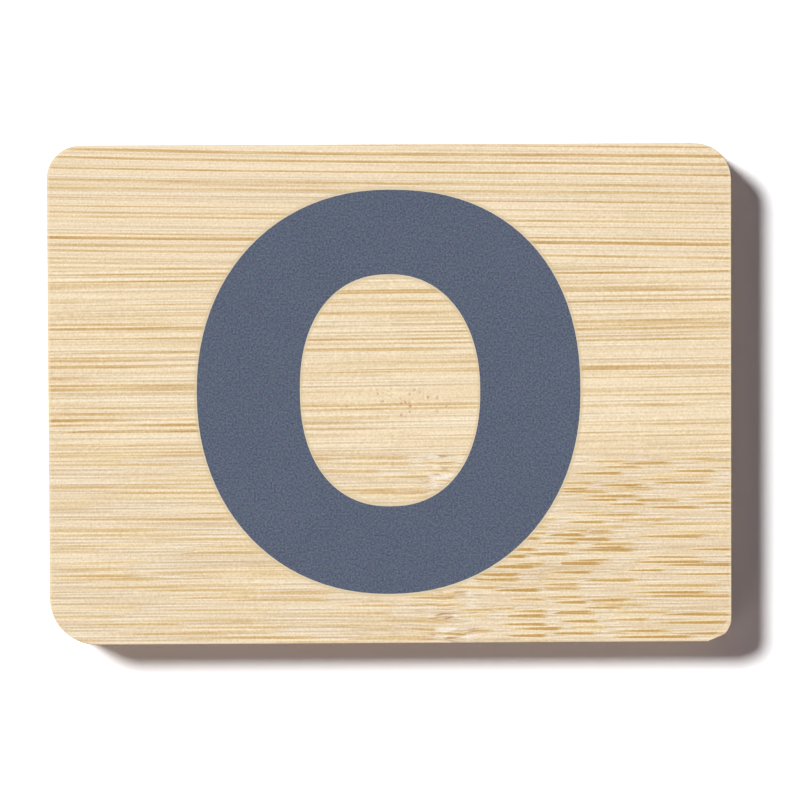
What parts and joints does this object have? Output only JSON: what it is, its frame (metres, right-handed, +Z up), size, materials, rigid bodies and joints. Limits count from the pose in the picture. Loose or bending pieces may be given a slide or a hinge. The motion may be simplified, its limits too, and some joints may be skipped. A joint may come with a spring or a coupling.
{
  "type": "letter train car plate",
  "caption": "Flat bamboo plate with sanded corners, glued up from crossed layers of strips, with one oval letter let into its face, for a toy letter train or a name row.",
  "frame": {"origin": "middle of the plate's underside, where it rests on the table", "axes": "+X along the face grain in the reading direction, +Y towards the letter's top, +Z up out of the letter's face"},
  "size_m": [0.075, 0.0548, 0.006],
  "materials": {
    "bamboo_face": "sanded, satin",
    "bamboo_core": "sanded, bare",
    "bamboo_back": "sanded, satin",
    "letter_paint": "matt paint"
  },
  "bodies": {
    "root": {"face_strip_1": "bamboo_face", "face_strip_2": "bamboo_face", "face_strip_3": "bamboo_face", "core_strip_1": "bamboo_core", "core_strip_2": "bamboo_core", "core_strip_3": "bamboo_core", "core_strip_4": "bamboo_core", "core_strip_5": "bamboo_core", "back_strip_1": "bamboo_back", "back_strip_2": "bamboo_back", "back_strip_3": "bamboo_back", "back_strip_4": "bamboo_back", "letter": "letter_paint"}
  },
  "joints": []
}
